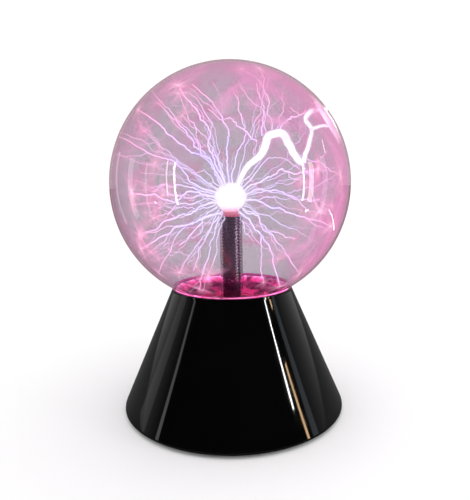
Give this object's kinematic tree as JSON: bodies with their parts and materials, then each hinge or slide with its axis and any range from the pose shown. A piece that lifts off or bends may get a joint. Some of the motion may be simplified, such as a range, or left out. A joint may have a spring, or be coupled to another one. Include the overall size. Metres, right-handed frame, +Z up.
{
  "type": "plasma ball",
  "caption": "Table-top plasma ball: sealed clear glass globe with a central stem electrode on a glossy black cone-shaped base with a rear power inlet and slide switch.",
  "frame": {"origin": "on the table, under the globe's centre: the centre of the underside of the rubber feet", "axes": "+Z up along the axis of the globe and the cone; the front, the side seen in the picture, faces -Y; the power inlet and switch are at the back, +Y"},
  "size_m": [0.178, 0.178, 0.261],
  "materials": {
    "clear_glass": "clear blown glass, polished",
    "stem_glass": "clear drawn glass tube",
    "glowing_electrode": "fine conducting wool that looks white with the discharge",
    "sleeve_black": "ribbed insulating sleeve, satin",
    "silicone_rubber": "translucent silicone",
    "foam_rubber": "soft closed-cell ring",
    "inner_plastic": "moulded plastic, as moulded",
    "dish_plastic": "smooth moulded dish that takes the colour of the discharge",
    "gloss_black": "high-gloss moulded black",
    "matte_black": "fine spark-eroded texture",
    "rubber_black": "matt rubber",
    "screw_steel": "zinc-plated steel",
    "board_green": "glass-fibre laminate with solder mask",
    "ferrite": "sintered ferrite",
    "copper_wire": "enamelled copper wire",
    "winding_tape": "fine winding under polyester tape",
    "component_black": "moulded epoxy package",
    "heat_sink_aluminium": "plain aluminium",
    "capacitor_sleeve": "shrunk plastic sleeve",
    "capacitor_film": "dipped epoxy",
    "resistor_ceramic": "lacquered ceramic rod",
    "connector_nylon": "natural nylon",
    "lead_insulation": "silicone insulation",
    "contact_brass": "plated brass",
    "knob_plastic": "moulded knob with fine grip ribs"
  },
  "bodies": {
    "base": {"base_cone": "gloss_black", "board_screws": "screw_steel", "bottom_cover": "matte_black", "clamp_screws": "screw_steel", "control_chip": "component_black", "cover_screws": "screw_steel", "dc_jack_body": "matte_black", "dc_jack_contact": "contact_brass", "dc_jack_nut": "screw_steel", "dc_jack_pin": "contact_brass", "dish_screws": "screw_steel", "driver_board": "board_green", "electrode_filling": "glowing_electrode", "electrolytic_capacitors": "capacitor_sleeve", "exhaust_tip": "stem_glass", "ferrite_core": "ferrite", "film_capacitor": "capacitor_film", "globe_gasket": "foam_rubber", "globe_glass": "clear_glass", "heat_sink": "heat_sink_aluminium", "heat_sink_screw": "screw_steel", "hv_lead": "lead_insulation", "lead_connectors": "connector_nylon", "microphone": "heat_sink_aluminium", "neck_clamp_ring": "inner_plastic", "neck_sealant": "silicone_rubber", "power_leads": "lead_insulation", "power_transistor": "component_black", "primary_winding": "copper_wire", "rear_panel": "matte_black", "resistors": "resistor_ceramic", "rubber_feet": "rubber_black", "seat_dish": "dish_plastic", "secondary_winding": "winding_tape", "stem_glass": "stem_glass", "stem_plug": "silicone_rubber", "stem_sleeve": "sleeve_black", "switch_body": "matte_black", "switch_leads": "lead_insulation", "switch_screws": "screw_steel", "switch_terminals": "contact_brass", "transformer_bobbin": "inner_plastic"},
    "switch": {"switch_knob": "knob_plastic", "switch_contact": "contact_brass"}
  },
  "joints": [
    {"name": "switch_slide", "type": "slide", "parent": "base", "child": "switch", "axis": [1, 0, 0], "range_m": [-0.003, 0.003]}
  ]
}
